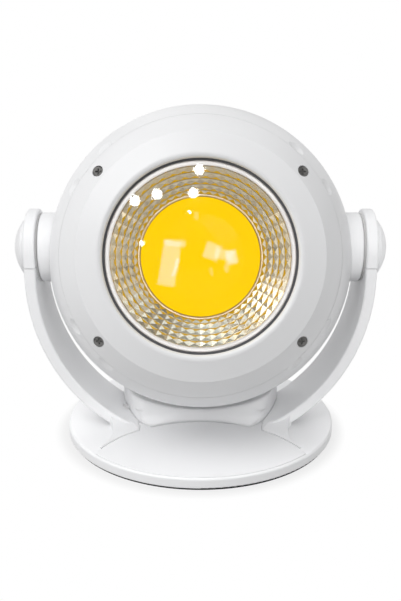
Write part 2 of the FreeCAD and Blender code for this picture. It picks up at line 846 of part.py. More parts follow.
def finger_dents():
    """Shallow round dents behind the seam, beside the screw wells."""
    dent_z = seam_z - dent_seam_offset
    dent_reach = sphere_height(ball_radius, dent_z)
    lift = (ball_radius + dent_radius - dent_depth) / ball_radius
    dents = []
    for quarter in range(4):
        for angle in dent_angles:
            turn = math.radians(angle if quarter % 2 == 0 else 90 - angle) + quarter * math.pi / 2
            centre = V(dent_reach * math.cos(turn), dent_reach * math.sin(turn), dent_z) * lift
            dents.append(Part.makeSphere(dent_radius, centre))
    return Part.makeCompound(dents)


def emitter_lead(growth):
    """Flat lead from the left pivot bolt, round the heat sink, to the emitter board."""
    half_width = lead_width / 2.0 + growth
    half = lead_thickness / 2.0 + growth
    side = sink_flange_radius + lead_thickness + fit_gap
    level = led_board_low + led_board_thickness / 2.0
    low_y = pivot_drop - half_width
    high_y = pivot_drop + half_width
    through_bolt = block(-(arm_outer + spring_washer_thickness), -side + half, low_y, high_y, -half, half)
    forward = block(-side - half, -side + half, low_y, high_y, -half, level + half)
    board_edge = led_board_radius + running_gap
    to_board = block(-side - half, -board_edge, low_y, high_y, level - half, level + half)
    return through_bolt.multiFuse([forward, to_board]).removeSplitter()


shelf = ring(ball_radius, shelf_bore_radius, shelf_low, shelf_top)
pillars = [disc(pillar_radius, shelf_low, pillar_top, x, y) for x, y in well_points]
posts = [disc(post_radius, split_z + fit_gap, shelf_top, x, y) for x, y in post_points]
pivot_boss = both_sides(rod_x(boss_radius, drum_back, ball_radius, pivot_drop, 0))
inside_ball = Part.makeSphere(ball_radius - ball_wall / 2.0)
inner_parts = [piece.common(inside_ball) for piece in [shelf] + pillars + posts]
inner_parts += pivot_boss.common(Part.makeSphere(ball_radius)).Solids
body = Part.makeSphere(ball_radius).cut(Part.makeSphere(ball_inner))
body = body.multiFuse(inner_parts).removeSplitter()
body = body.common(disc(ball_radius, split_z, pillar_top))
drum_pocket = rod_x(drum_radius + drum_gap, drum_seat, ball_radius, pivot_drop, 0)
bolt_way = rod_x(bush_bore, 0, ball_radius, pivot_drop, 0)
body = body.cut(both_sides(drum_pocket.fuse(bolt_way)))
screw_starts = [disc(screw_bore, shelf_top, pillar_top, x, y) for x, y in well_points]
rear_screw_tip = split_z + rear_screw_bite
screw_starts += [disc(screw_bore, split_z, rear_screw_tip, x, y) for x, y in post_points]
sink_screw_points = [(side * sink_screw_circle, 0) for side in (-1, 1)]
sink_screw_points += [(0, side * sink_screw_circle) for side in (-1, 1)]
screw_starts += [disc(screw_bore, shelf_low, shelf_top, x, y) for x, y in sink_screw_points]
body = body.cut(Part.makeCompound(screw_starts)).cut(finger_dents()).cut(emitter_lead(fit_gap))

# Rear shell with vents, an inner lip and deep screw wells

rear_top = split_z - seam_gap
rear_seat = rear_top - rear_boss_floor
rear_boss_radius = well_radius + well_wall
lip_outer = sphere_height(ball_inner, split_z) - fit_gap


def vent_slot(y):
    """Round-ended slot across the back of the ball."""
    half = math.sqrt(vent_reach_radius ** 2 - y ** 2)
    radius = vent_width / 2.0
    ends = [disc(radius, -far, rear_top - ball_wall, x, y) for x in (-half, half)]
    middle = block(-half, half, y - radius, y + radius, -far, rear_top - ball_wall)
    return middle.multiFuse(ends).removeSplitter()


rear = Part.makeSphere(ball_radius).cut(Part.makeSphere(ball_inner))
rear = rear.common(disc(ball_radius, -ball_radius, rear_top))
rear_bosses = [disc(rear_boss_radius, -ball_radius, rear_top, x, y) for x, y in post_points]
rear_bosses = [boss.common(inside_ball) for boss in rear_bosses]
rear_lip = ring(lip_outer, lip_outer - split_lip_wall, rear_top - ball_wall, split_z + split_lip_height)
lip_web = ring(sphere_height(ball_radius, rear_top) - ball_wall / 2.0, lip_outer - split_lip_wall,
               rear_top - ball_wall, rear_top)
rear = rear.multiFuse(rear_bosses + [rear_lip, lip_web]).removeSplitter()
rear = rear.cut(both_sides(rod_x(boss_radius + fit_gap, drum_back - fit_gap, ball_radius, pivot_drop, 0)))
rear_wells = [disc(well_radius, -ball_radius, rear_seat, x, y) for x, y in post_points]
rear_wells += [disc(screw_bore, rear_seat, rear_top, x, y) for x, y in post_points]
vent_rows = int(vent_reach_radius / vent_pitch)
vents = [vent_slot(row * vent_pitch) for row in range(-vent_rows + 1, vent_rows)]
rear_shell = rear.cut(Part.makeCompound(rear_wells + vents))

rear_screws = Part.makeCompound([
    upside_down(screw(small_screw_radius, small_head_radius, small_head_height,
                      -rear_screw_tip, -rear_seat, x, y))
    for x, y in post_points
])

# Lens, seal, reflector and retaining ring

seal_inner = window_radius - seal_show
lens_seal = polygon_turned(
    (seal_inner, seal_back - seal_front),
    (seal_inner, seal_back),
    (seal_radius, seal_back),
    (seal_radius, lens_back),
    (seal_radius - seal_wall, lens_back),
    (seal_radius - seal_wall, seal_back - seal_front),
)
front_lens = disc(lens_radius, lens_back, lens_front)
flange_radius = bezel_bore - fit_gap
cone_rate = (reflector_mouth_radius - reflector_throat_radius) / reflector_depth
back_radius = reflector_mouth_radius - cone_rate * flange_thickness + reflector_wall
reflector = polygon_turned(
    (reflector_throat_radius, throat_z),
    (reflector_mouth_radius, flange_front_z),
    (flange_radius, flange_front_z),
    (flange_radius, flange_back_z),
    (back_radius, flange_back_z),
    (reflector_throat_radius + reflector_wall, throat_z),
)
lens_ring = ring(flange_radius, back_radius + fit_gap, ring_back, flange_back_z)

# Emitter under its domed lens

dome_base = throat_z - dome_edge
dome_curve = (dome_radius ** 2 + dome_rise ** 2) / (2 * dome_rise)
dome_top = throat_z + dome_rise
dome_cap = disc(dome_radius, dome_base, dome_top)
dome_lens = dome_cap.common(Part.makeSphere(dome_curve, V(0, 0, dome_top - dome_curve)))
holder_bore = dome_radius + running_gap
ledge_bore = holder_bore - holder_ledge
lens_holder = ring(holder_radius, holder_bore, holder_low, throat_z - running_gap)
lens_holder = lens_holder.fuse(ring(holder_bore, ledge_bore, holder_low, dome_base)).removeSplitter()
led_emitter = disc(ledge_bore - fit_gap, led_board_top, led_board_top + emitter_thickness)
led_angles = [math.pi / 2 + 2 * math.pi * i / led_screw_count for i in range(led_screw_count)]
led_screw_points = [(led_screw_circle * math.cos(a), led_screw_circle * math.sin(a)) for a in led_angles]
led_screw_tip = sink_low + small_head_height
led_bores = [disc(screw_bore, led_screw_tip, led_board_top, x, y) for x, y in led_screw_points]
led_bores = Part.makeCompound(led_bores)
led_board = disc(led_board_radius, led_board_low, led_board_top).cut(led_bores)
thermal_pad = disc(led_screw_circle - small_head_radius, sink_top, led_board_low)
led_screws = Part.makeCompound([
    screw(small_screw_radius, small_head_radius, small_head_height, led_screw_tip, led_board_top, x, y)
    for x, y in led_screw_points
])

# Heat sink

sink_flange_top = sink_low + sink_flange_thickness
fins = []
fin_rows = int(fin_reach_radius / fin_pitch)
for row in range(-fin_rows, fin_rows + 1):
    x = row * fin_pitch
    reach = math.sqrt(fin_reach_radius ** 2 - x ** 2)
    left = x - fin_thickness / 2.0
    fins.append(block(left, left + fin_thickness, -reach, reach, sink_low - fin_length, sink_low))
sink_flange = disc(sink_flange_radius, sink_low, sink_flange_top)
heat_sink = disc(sink_core_radius, sink_low, sink_top).multiFuse([sink_flange] + fins).removeSplitter()
sink_bores = [disc(screw_bore, sink_low, sink_flange_top, x, y) for x, y in sink_screw_points]
heat_sink = heat_sink.cut(Part.makeCompound(sink_bores)).cut(led_bores)
heat_sink_screws = Part.makeCompound([
    screw(small_screw_radius, small_head_radius, small_head_height, shelf_low, sink_flange_top, x, y)
    for x, y in sink_screw_points
])

# Pivot pieces that turn with the head

drum_end = washer_inner_end - running_gap
bolt_head_seat = arm_outer + spring_washer_thickness + running_gap
nut_back = drum_back - nut_height


def on_tilt_axis(shape):
    """Lay a piece turned about Z along the tilt axis of the head."""
    return along_x(shape).translated(V(0, pivot_drop, 0))


drum = turned([
    (bush_bore, drum_seat, 0),
    (drum_radius, drum_seat, 0),
    (drum_radius, drum_end, drum_edge_round),
    (bush_bore, drum_end, 0),
])
bolt = disc(bolt_radius, nut_back - bolt_end_length, bolt_head_seat)
bolt = bolt.fuse(disc(bolt_head_radius, bolt_head_seat, bolt_head_seat + bolt_head_height)).removeSplitter()
bolt = bolt.cut(disc(bolt_bore_radius, 0, far))
nut_corner = nut_width / 2.0 / math.cos(math.pi / nut_sides)
nut_angles = [2 * math.pi * i / nut_sides for i in range(nut_sides + 1)]
nut_points = [V(nut_corner * math.cos(a), nut_corner * math.sin(a), nut_back) for a in nut_angles]
nut = Part.Face(Part.makePolygon(nut_points)).extrude(V(0, 0, nut_height))
nut = nut.cut(disc(bush_bore, nut_back, drum_back))

save_head("front_bezel", front_bezel)
save_head("bezel_screws", bezel_screws)
save_head("lens_seal", lens_seal)
save_head("front_lens", front_lens)
save_head("lens_ring", lens_ring)
save_head("reflector", reflector)
save_head("lens_holder", lens_holder)
save_head("dome_lens", dome_lens)
save_head("led_emitter", led_emitter)
save_head("led_board", led_board)
save_head("thermal_pad", thermal_pad)
save_head("led_screws", led_screws)
save_head("heat_sink", heat_sink)
save_head("heat_sink_screws", heat_sink_screws)
save_head("body_shell", body)
save_head("rear_shell", rear_shell)
save_head("rear_screws", rear_screws)
save_head("led_lead", emitter_lead(0))
save_head_pair("pivot_drum", on_tilt_axis(drum))
save_head_pair("pivot_bolt", on_tilt_axis(bolt))
save_head_pair("pivot_nut", on_tilt_axis(nut))
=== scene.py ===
import bmesh
import bpy
import math
from mathutils import Matrix, Vector


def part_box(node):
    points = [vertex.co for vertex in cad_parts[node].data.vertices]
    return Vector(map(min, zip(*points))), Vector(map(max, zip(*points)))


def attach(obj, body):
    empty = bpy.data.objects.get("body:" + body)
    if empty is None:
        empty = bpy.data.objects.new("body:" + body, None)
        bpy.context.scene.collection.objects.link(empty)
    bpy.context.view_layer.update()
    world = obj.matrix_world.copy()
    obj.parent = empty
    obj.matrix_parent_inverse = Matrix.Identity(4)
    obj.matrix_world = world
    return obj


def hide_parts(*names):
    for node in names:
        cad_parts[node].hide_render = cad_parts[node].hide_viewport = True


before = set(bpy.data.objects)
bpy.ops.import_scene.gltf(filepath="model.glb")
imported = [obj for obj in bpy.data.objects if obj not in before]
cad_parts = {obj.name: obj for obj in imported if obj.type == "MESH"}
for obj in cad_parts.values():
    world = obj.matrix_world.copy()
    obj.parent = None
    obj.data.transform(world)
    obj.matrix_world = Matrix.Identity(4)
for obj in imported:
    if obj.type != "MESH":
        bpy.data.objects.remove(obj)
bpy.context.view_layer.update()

# Base shell and its crescent panel.
# Two injection mouldings in satin white plastic. The panel drops into a pocket in the shell's front
# and is glued there, so only a hairline shows round it.


class Layer:
    """One output in a material's node tree. Arithmetic on it adds Math nodes to the same tree."""

    def __init__(self, tree, socket=None):
        self.tree = tree
        self.socket = socket

    def node(self, kind, settings, inputs, output=0):
        """Add a node: settings first, then the values or links of its sockets."""
        node = self.tree.nodes.new(kind)
        for name, value in settings.items():
            if name == "stops":
                elements = node.color_ramp.elements
                while len(elements) < len(value):
                    elements.new(1.0)
                for element, (position, colour) in zip(elements, value):
                    element.position = position
                    element.color = (*colour, 1.0)
            else:
                setattr(node, name, value)
        for name, value in inputs.items():
            if isinstance(value, Layer):
                self.tree.links.new(value.socket, node.inputs[name])
            else:
                node.inputs[name].default_value = value
        return Layer(self.tree, node.outputs[output] if node.outputs else None)

    def maths(self, operation, first, second):
        return self.node("ShaderNodeMath", {"operation": operation}, {0: first, 1: second})

    def __add__(self, other):
        return self.maths("ADD", self, other)

    def __radd__(self, other):
        return self.maths("ADD", other, self)

    def __sub__(self, other):
        return self.maths("SUBTRACT", self, other)

    def __rsub__(self, other):
        return self.maths("SUBTRACT", other, self)

    def __mul__(self, other):
        return self.maths("MULTIPLY", self, other)

    def __rmul__(self, other):
        return self.maths("MULTIPLY", other, self)

    def __pow__(self, other):
        return self.maths("POWER", self, other)


def empty_material(name):
    """A material with no nodes yet, and the layer that its nodes start from."""
    material = bpy.data.materials.new(name)
    material.use_nodes = True
    material.node_tree.nodes.clear()
    return material, Layer(material.node_tree)


def noise(layer, scale, detail):
    """Noise that sits still on the piece, from 0 to 1."""
    place = layer.node("ShaderNodeTexCoord", {}, {}, "Object")
    return layer.node("ShaderNodeTexNoise", {}, {"Vector": place, "Scale": scale, "Detail": detail})


def blend(layer, amount, first, second):
    """Two colours mixed by an amount."""
    inputs = {0: amount, 6: (*first, 1.0), 7: (*second, 1.0)}
    return layer.node("ShaderNodeMix", {"data_type": "RGBA"}, inputs, 2)


def bumped(layer, height, depth, rounding):
    """Normal of a surface with a fine relief, and with its sharp edges softly rounded."""
    edge = layer.node("ShaderNodeBevel", {"samples": 4}, {"Radius": rounding})
    return layer.node("ShaderNodeBump", {}, {
        "Strength": 1.0, "Distance": depth, "Height": height, "Normal": edge})


def output(layer, shader):
    layer.node("ShaderNodeOutputMaterial", {}, {"Surface": shader})


def moulded(name, pale, deep, roughness, grain, rounding):
    """Moulded plastic: a faint cloud in the colour, a spark-eroded grain, and handling marks in the gloss."""
    material, layer = empty_material(name)
    cloud = noise(layer, 24.0, 3.0)
    smear = noise(layer, 75.0, 4.0)
    pits = noise(layer, 2100.0, 2.0)
    shader = layer.node("ShaderNodeBsdfPrincipled", {}, {
        "Base Color": blend(layer, cloud, pale, deep),
        "Roughness": roughness - 0.09 + 0.12 * smear + 0.06 * pits,
        "Normal": bumped(layer, pits, grain, rounding),
        "IOR": 1.48,
    })
    output(layer, shader)
    return material


def dress(material, *nodes):
    """Give CAD nodes a finish."""
    for node in nodes:
        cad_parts[node].data.materials[0] = material


white_pale = (0.87, 0.872, 0.88)
white_deep = (0.845, 0.848, 0.858)
satin = 0.36
satin_grain = 0.00001
white_plastic = moulded("white_plastic", white_pale, white_deep, satin, satin_grain, 0.0004)
dress(white_plastic, "base_shell", "front_panel")

# Foot pad.
# A die-cut disc of black rubber, glued under the base so that the lamp doesn't slide or scratch.

def rubber(name, pale, deep, roughness):
    """Rubber: dull, with a dusty bloom and a fine open grain."""
    material, layer = empty_material(name)
    bloom = noise(layer, 110.0, 5.0)
    grain = noise(layer, 1400.0, 3.0)
    shader = layer.node("ShaderNodeBsdfPrincipled", {}, {
        "Base Color": blend(layer, bloom, pale, deep),
        "Roughness": roughness + 0.15 * grain,
        "Normal": bumped(layer, grain, 0.00004, 0.0002),
        "Specular IOR Level": 0.3,
    })
    output(layer, shader)
    return material


dress(rubber("foot_rubber", (0.020, 0.020, 0.021), (0.010, 0.010, 0.011), 0.68), "foot_pad")

# Ballast plate, base screws and the other plain steel pieces.
# Zinc-plated mild steel: the plate is punched from sheet, the screws and washers are bought in.

def metal(name, pale, deep, roughness, brush):
    """Metal with a fine directional finish and slightly uneven gloss."""
    material, layer = empty_material(name)
    place = layer.node("ShaderNodeTexCoord", {}, {}, "Object")
    along = layer.node("ShaderNodeMapping", {}, {"Vector": place, "Scale": brush})
    lines = layer.node("ShaderNodeTexNoise", {}, {"Vector": along, "Scale": 900.0, "Detail": 3.0})
    stain = noise(layer, 130.0, 4.0)
    shader = layer.node("ShaderNodeBsdfPrincipled", {}, {
        "Base Color": blend(layer, stain, pale, deep),
        "Metallic": 1.0,
        "Roughness": roughness - 0.06 + 0.14 * stain + 0.06 * lines,
        "Normal": bumped(layer, lines, 0.000006, 0.0002),
    })
    output(layer, shader)
    return material


zinc_steel = metal("zinc_steel", (0.60, 0.61, 0.63), (0.50, 0.51, 0.52), 0.34, (1.0, 0.06, 1.0))
dress(zinc_steel, "ballast_plate", "base_screws", "ear_screws", "board_screws", "spring_washer_right",
      "spring_washer_left", "pivot_bolt_right", "pivot_bolt_left", "pivot_nut_right", "pivot_nut_left",
      "led_screws", "heat_sink_screws")

# Yoke, ear caps and cradle.
# White mouldings like the base: the yoke stands on it, the caps close the arms over the pivots, and the
# dished cradle, with rounder edges than the rest, covers the driver under the ball.

cradle_rounding = 0.003
dress(white_plastic, "yoke", "ear_cap_right", "ear_cap_left")
dress(moulded("cradle_white", white_pale, white_deep, satin, satin_grain, cradle_rounding), "cradle_housing")

# Pivots.
# Brass bushes in the ears, nylon friction washers that hold the tilt, and snap-on white covers outside.

dress(moulded("natural_nylon", (0.84, 0.83, 0.80), (0.78, 0.77, 0.73), 0.45, 0.00001, 0.0002),
      "friction_washer_right", "friction_washer_left")
dress(metal("turned_brass", (0.80, 0.58, 0.27), (0.70, 0.48, 0.20), 0.28, (0.06, 1.0, 1.0)),
      "pivot_bush_right", "pivot_bush_left")
dress(white_plastic, "pivot_cover_right", "pivot_cover_left", "pivot_drum_right", "pivot_drum_left")

# Driver in the cradle.
# Glass-fibre boards with a green resist over copper tracks, and black moulded parts soldered to them.

def resist_board(name):
    """Printed board: green resist, paler where copper tracks run under it."""
    material, layer = empty_material(name)
    place = layer.node("ShaderNodeTexCoord", {}, {}, "Object")
    tracks = layer.node("ShaderNodeTexBrick", {"offset": 0.35, "squash": 2.0}, {
        "Vector": place, "Scale": 260.0, "Mortar Size": 0.03, "Color1": (0.0, 0.0, 0.0, 1.0),
        "Color2": (0.15, 0.15, 0.15, 1.0), "Mortar": (1.0, 1.0, 1.0, 1.0)})
    weave = noise(layer, 900.0, 2.0)
    shader = layer.node("ShaderNodeBsdfPrincipled", {}, {
        "Base Color": blend(layer, tracks, (0.012, 0.115, 0.045), (0.05, 0.26, 0.10)),
        "Roughness": 0.26 + 0.12 * weave,
        "Normal": bumped(layer, tracks, 0.00003, 0.0001),
    })
    output(layer, shader)
    return material


dress(resist_board("resist_board"), "driver_board", "switch_board", "led_board")
dress(moulded("black_moulding", (0.024, 0.024, 0.026), (0.016, 0.016, 0.017), 0.42, 0.00002, 0.0002),
      "board_parts", "tact_switch")

# Socket and button at the back.
# A nickel-plated power socket soldered to the board, and a white push button that clips in from inside.

dress(metal("nickel_plate", (0.66, 0.63, 0.58), (0.58, 0.55, 0.50), 0.22, (1.0, 1.0, 0.1)), "power_socket")
dress(white_plastic, "power_button")

# Leads.
# Flat twin leads with a white jacket, through the hollow pivot bolt to the emitter.

dress(moulded("lead_jacket", (0.82, 0.82, 0.82), (0.76, 0.76, 0.77), 0.5, 0.00002, 0.0002),
      "arm_lead", "led_lead")

# Ball: front bezel, body and rear shell.
# Three white shells that screw together. The bezel's screws lie deep in four wells round the lens.

dress(white_plastic, "front_bezel", "body_shell", "rear_shell", "lens_ring")
black_oxide = metal("black_oxide", (0.33, 0.325, 0.315), (0.23, 0.226, 0.22), 0.5, (1.0, 1.0, 1.0))
dress(black_oxide, "bezel_screws", "rear_screws")

# Reflector cup.
# A moulded cup with stepped rows of four-sided facets, vacuum-coated with aluminium; its warm gold tint is
# partly painted reflection of the yellow phosphor in the facets.
# Its flange is held between the cover glass and the retaining ring.

pivot_low, pivot_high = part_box("pivot_bolt_right")
pivot = Vector((0.0, (pivot_low.y + pivot_high.y) / 2, (pivot_low.z + pivot_high.z) / 2))
ball_drop = 0.0043
lens_tilt = math.radians(75.0)
head_place = (Matrix.Translation(pivot) @ Matrix.Rotation(lens_tilt, 4, "X")
              @ Matrix.Translation((0.0, -ball_drop, 0.0)))


def begin():
    """Start a piece with nothing selected."""
    bpy.ops.object.select_all(action="DESELECT")


def apply_modifier(piece, kind, **settings):
    """Add a modifier and apply it."""
    modifier = piece.modifiers.new(kind.lower(), kind)
    for name, value in settings.items():
        setattr(modifier, name, value)
    bpy.ops.object.modifier_apply(modifier=modifier.name)


def settle(piece, name, place, body, material):
    """Turn a piece modelled upright at the origin into its place on a body."""
    piece.name = name
    piece.data.name = name
    piece.matrix_world = place
    bpy.ops.object.transform_apply(location=True, rotation=True, scale=True)
    piece.data.materials.clear()
    piece.data.materials.append(material)
    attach(piece, body)


throat_radius = 0.0244
mouth_radius = 0.0351
throat_height = 0.0283
mouth_height = 0.0411
cup_depth = mouth_height - throat_height
facet_columns = 48
facet_rows = 5
facet_rise = 0.00042
tread_width = 0.90
tread_height = 0.55
cup_wall = 0.0006
flattest_riser = 0.5

begin()
bpy.ops.mesh.primitive_cone_add(vertices=facet_columns, radius1=throat_radius, radius2=mouth_radius,
                                depth=cup_depth, end_fill_type="NOTHING")
reflector_cup = bpy.context.object
# The cone's side edges are cut into a tread and a riser for each row.
bpy.ops.object.mode_set(mode="EDIT")
bpy.ops.mesh.select_mode(type="EDGE")
shape = bmesh.from_edit_mesh(reflector_cup.data)
for edge in shape.edges:
    edge.select = abs(edge.verts[0].co.z - edge.verts[1].co.z) > cup_depth / 2
bmesh.update_edit_mesh(reflector_cup.data)
bpy.ops.mesh.subdivide(number_cuts=2 * facet_rows - 1)
# Each ring of corners moves out and up to its step.
shape = bmesh.from_edit_mesh(reflector_cup.data)
for vert in shape.verts:
    ring = round((vert.co.z / cup_depth + 0.5) * 2 * facet_rows)
    row = ring // 2
    widening = (row + (ring % 2) * tread_width) / facet_rows
    climb = (row + (ring % 2) * tread_height) / facet_rows
    grow = (throat_radius + widening * (mouth_radius - throat_radius)) / vert.co.xy.length
    vert.co = (vert.co.x * grow, vert.co.y * grow, throat_height + climb * cup_depth)
# Each tread becomes a low pyramid, and the wall gets its thickness behind the facets.
bpy.ops.mesh.select_mode(type="FACE")
shape.normal_update()
for face in shape.faces:
    face.select_set(abs(face.normal.z) > flattest_riser)
bmesh.update_edit_mesh(reflector_cup.data)
bpy.ops.mesh.poke(offset=-facet_rise, use_relative_offset=False, center_mode="MEDIAN")
bpy.ops.mesh.select_all(action="SELECT")
bpy.ops.mesh.flip_normals()
bpy.ops.object.mode_set(mode="OBJECT")
apply_modifier(reflector_cup, "SOLIDIFY", thickness=cup_wall, offset=-1.0)

# The warm gold of the base colour is partly painted reflection: it stands in for the yellow phosphor mirrored
# in the facets.
cup_silver, layer = empty_material("cup_silver")
haze = noise(layer, 320.0, 3.0)
ripple = noise(layer, 700.0, 2.0)
output(layer, layer.node("ShaderNodeBsdfPrincipled", {}, {
    "Base Color": blend(layer, haze, (0.59, 0.53, 0.42), (0.50, 0.44, 0.34)),
    "Metallic": 1.0,
    "Roughness": 0.09 + 0.10 * haze,
    "Normal": layer.node("ShaderNodeBump", {}, {"Strength": 1.0, "Distance": 0.00001, "Height": ripple}),
}))
settle(reflector_cup, "reflector_cup", head_place, "head", cup_silver)
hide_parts("reflector")

# Reflector flange.
# The cup's flat rim, left uncoated: a pale pinkish ring of bare plastic between the facets and the seal.

flange_radius = 0.0382
flange_wall = 0.0008
flange_front = mouth_height + 0.0001


def draw_out(profile, columns):
    """Turned piece: a circle drawn out ring by ring through the (radius, height) steps of its profile."""
    begin()
    radius, height = profile[0]
    bpy.ops.mesh.primitive_circle_add(vertices=columns, radius=radius, location=(0.0, 0.0, height))
    piece = bpy.context.object
    bpy.ops.object.transform_apply(location=True, rotation=True, scale=True)
    bpy.ops.object.mode_set(mode="EDIT")
    bpy.ops.mesh.select_all(action="SELECT")
    for next_radius, next_height in profile[1:]:
        bpy.ops.mesh.extrude_edges_move(TRANSFORM_OT_translate={"value": (0.0, 0.0, next_height - height)})
        grow = next_radius / radius
        bpy.ops.transform.resize(value=(grow, grow, 1.0), center_override=(0.0, 0.0, next_height))
        radius = next_radius
        height = next_height
    bpy.ops.mesh.select_all(action="SELECT")
    bpy.ops.mesh.remove_doubles(threshold=0.00001)
    bpy.ops.mesh.fill_holes(sides=0)
    bpy.ops.mesh.normals_make_consistent(inside=False)
    bpy.ops.object.mode_set(mode="OBJECT")
    return piece


flange_back = flange_front - flange_wall
round_columns = 160
smooth_angle = math.radians(40.0)
reflector_flange = draw_out(((mouth_radius, flange_front), (flange_radius, flange_front),
                             (flange_radius, flange_back), (mouth_radius, flange_back),
                             (mouth_radius, flange_front)), round_columns)
apply_modifier(reflector_flange, "BEVEL", width=0.00015, segments=2, limit_method="ANGLE")
bpy.ops.object.shade_smooth_by_angle(angle=smooth_angle)
bare_rim = moulded("bare_rim", (0.79, 0.745, 0.735), (0.76, 0.71, 0.70), 0.30, 0.00001, 0.0001)
settle(reflector_flange, "reflector_flange", head_place, "head", bare_rim)

# Seal and cover glass.
# A black rubber ring with a lip grips the edge of a flat, clear acrylic cover, which closes the front.

dress(rubber("seal_rubber", (0.105, 0.105, 0.112), (0.082, 0.082, 0.088), 0.5), "lens_seal")

cover_glass, layer = empty_material("cover_glass")
facing = layer.node("ShaderNodeLayerWeight", {}, {"Blend": 0.5}, "Facing")
wipe = noise(layer, 60.0, 3.0)
shine = layer.node("ShaderNodeBsdfGlossy", {}, {"Roughness": 0.015 + 0.02 * wipe})
clear = layer.node("ShaderNodeBsdfTransparent", {}, {"Color": (0.985, 0.988, 0.986, 1.0)})
output(layer, layer.node("ShaderNodeMixShader", {}, {0: 0.04 + 0.96 * facing ** 5, 1: clear, 2: shine}))
dress(cover_glass, "front_lens")

# Dome lens, its holder and the emitter.
# A thick clear lens, coated against glare, with a stepped foot that drops into a tan plastic ring and stands
# on a round emitter under yellow phosphor silicone, so that the yellow fills it from edge to edge.

dome_foot = 0.0252
dome_foot_radius = 0.0226
dome_ledge = 0.0268
dome_ledge_radius = 0.0236
dome_brim_low = 0.02828
dome_brim = 0.0287
dome_brim_radius = 0.0243
dome_crown = 0.0383
dome_steps = 40
dome_rise = dome_crown - dome_brim
dome_curve = (dome_brim_radius ** 2 + dome_rise ** 2) / (2 * dome_rise)
dome_spread = math.asin(dome_brim_radius / dome_curve)
dome_gleam = 0.006
dome_profile = [(dome_foot_radius, dome_foot), (dome_foot_radius, dome_ledge),
                (dome_ledge_radius, dome_ledge), (dome_ledge_radius, dome_brim_low),
                (dome_brim_radius, dome_brim_low)]
for step in range(dome_steps):
    lean = dome_spread * (1 - step / dome_steps)
    dome_profile.append((dome_curve * math.sin(lean), dome_crown - dome_curve * (1 - math.cos(lean))))
dome = draw_out(dome_profile, round_columns)
bpy.ops.object.shade_smooth_by_angle(angle=math.radians(35.0))

dome_glass, layer = empty_material("dome_glass")
flow = noise(layer, 90.0, 2.0)
facing = layer.node("ShaderNodeLayerWeight", {}, {"Blend": 0.5}, "Facing")
clear_acrylic = {"Color": (1.0, 0.998, 0.98, 1.0), "Roughness": 0.008, "IOR": 1.49}
inside = layer.node("ShaderNodeBsdfGlass", {}, clear_acrylic)
bent = layer.node("ShaderNodeBsdfRefraction", {}, clear_acrylic)
gleam = layer.node("ShaderNodeBsdfGlossy", {}, {"Roughness": 0.01 + 0.02 * flow})
edge_gleam = 0.10
outside = layer.node("ShaderNodeMixShader", {}, {0: dome_gleam + edge_gleam * facing ** 5, 1: bent, 2: gleam})
behind = layer.node("ShaderNodeNewGeometry", {}, {}, "Backfacing")
output(layer, layer.node("ShaderNodeMixShader", {}, {0: behind, 1: outside, 2: inside}))
settle(dome, "dome", head_place, "head", dome_glass)
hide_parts("dome_lens")

collar_low = 0.0285
collar_high = 0.0290
collar_inner = 0.02434
dome_collar = draw_out(((collar_inner, collar_low), (0.0245, collar_low), (0.0249, collar_high),
                        (0.0244, collar_high), (collar_inner, collar_low)), round_columns)
bpy.ops.object.shade_smooth_by_angle(angle=smooth_angle)
tan_collar = moulded("tan_collar", (0.80, 0.63, 0.44), (0.76, 0.57, 0.38), 0.35, 0.00001, 0.0001)
settle(dome_collar, "dome_collar", head_place, "head", tan_collar)
dress(moulded("tan_holder", (0.74, 0.57, 0.38), (0.68, 0.51, 0.33), 0.35, 0.00001, 0.0002), "lens_holder")

# The phosphor's emission is painted light: the lamp is off, and the even yellow glow stands in for the light
# that falls on it through the dome.
phosphor, layer = empty_material("phosphor")
grit = noise(layer, 1500.0, 3.0)
pool = noise(layer, 120.0, 3.0)
painted_glow = blend(layer, 0.7 * pool + 0.3 * grit, (1.0, 0.67, 0.001), (1.0, 0.64, 0.001))
output(layer, layer.node("ShaderNodeBsdfPrincipled", {}, {
    "Base Color": blend(layer, pool, (0.28, 0.16, 0.001), (0.25, 0.14, 0.001)),
    "Specular IOR Level": 0.0,
    "Roughness": 0.45 + 0.2 * grit,
    "Emission Color": painted_glow,
    "Emission Strength": 1.0,
    "Normal": layer.node("ShaderNodeBump", {}, {"Strength": 1.0, "Distance": 0.00003, "Height": grit}),
}))
dress(phosphor, "led_emitter")

# The bead is made in the phosphor's finish, so it shares the phosphor's painted glow.
bead_low = 0.0267
bead_high = 0.02685
bead_inner = 0.02255
silicone_bead = draw_out(((bead_inner, bead_low), (dome_ledge_radius, bead_low),
                          (dome_ledge_radius, bead_high), (bead_inner, bead_high), (bead_inner, bead_low)),
                         round_columns)
bpy.ops.object.shade_smooth_by_angle(angle=smooth_angle)
settle(silicone_bead, "silicone_bead", head_place, "head", phosphor)

# Grey rings in the pivot gaps.
# A grey ring round each friction washer, set on the arm, fills the gap beside the drum: it is painted shade,
# a soft grey that stands in for the gap's shadow.

gap_shade_inner = 0.0122
gap_shade_outer = 0.0145
# Painted shade: the ring's grey stands in for the shadow in the gap beside the drum.
gap_shade_grey = moulded("gap_shade_grey", (0.74, 0.74, 0.73), (0.66, 0.66, 0.65), 0.9, 0.00006, 0.0001)
for side, turn in (("left", -90.0), ("right", 90.0)):
    washer_low, washer_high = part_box("friction_washer_" + side)
    near, far = sorted((abs(washer_low.x), abs(washer_high.x)))
    gap_shade_ring = draw_out(((gap_shade_inner, near), (gap_shade_outer, near), (gap_shade_outer, far), (gap_shade_inner, far),
                          (gap_shade_inner, near)), 96)
    bpy.ops.object.shade_smooth_by_angle(angle=smooth_angle)
    gap_shade_place = Matrix.Translation(pivot) @ Matrix.Rotation(math.radians(turn), 4, "Y")
    settle(gap_shade_ring, "felt_ring_" + side, gap_shade_place, "stand", gap_shade_grey)

# Heat sink and thermal pad.
# A finned aluminium casting behind the emitter, with a soft grey pad between them.

